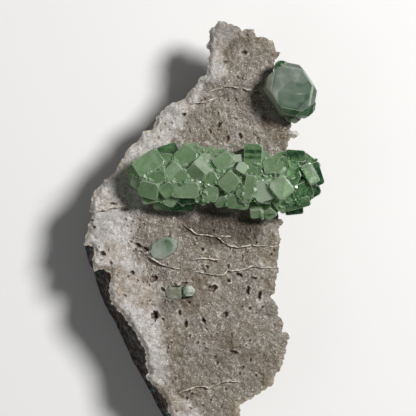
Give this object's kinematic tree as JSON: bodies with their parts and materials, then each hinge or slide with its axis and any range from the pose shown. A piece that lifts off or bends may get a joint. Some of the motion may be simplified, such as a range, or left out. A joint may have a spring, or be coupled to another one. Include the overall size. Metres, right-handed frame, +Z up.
{
  "type": "apophyllite mineral specimen",
  "caption": "Mineral specimen: a bar of blocky green apophyllite crystals and one large crystal on a crust of drusy chalcedony over dark basalt, lying on its flat back.",
  "frame": {"origin": "centre of the whole specimen's box in plan, on the surface that its flat back rests on", "axes": "+Z up out of the crust's face, +Y along the specimen towards its narrow end, +X to the right as seen from above with the narrow end at the top"},
  "size_m": [0.102, 0.17, 0.0482],
  "materials": {
    "basalt": "dark broken basalt with blue-green specks",
    "drusy_chalcedony": "fine sparkling druse over pale chalcedony",
    "apophyllite": "clear green crystal with vitreous faces",
    "hazy_apophyllite": "hazy grey-green crystal with vitreous faces"
  },
  "bodies": {
    "root": {"basalt_matrix": "basalt", "chalcedony_crust": "drusy_chalcedony", "apophyllite_band": "apophyllite", "apophyllite_crystal_upper": "hazy_apophyllite", "apophyllite_crystal_middle": "hazy_apophyllite", "apophyllite_crystal_lower": "apophyllite"}
  },
  "joints": []
}
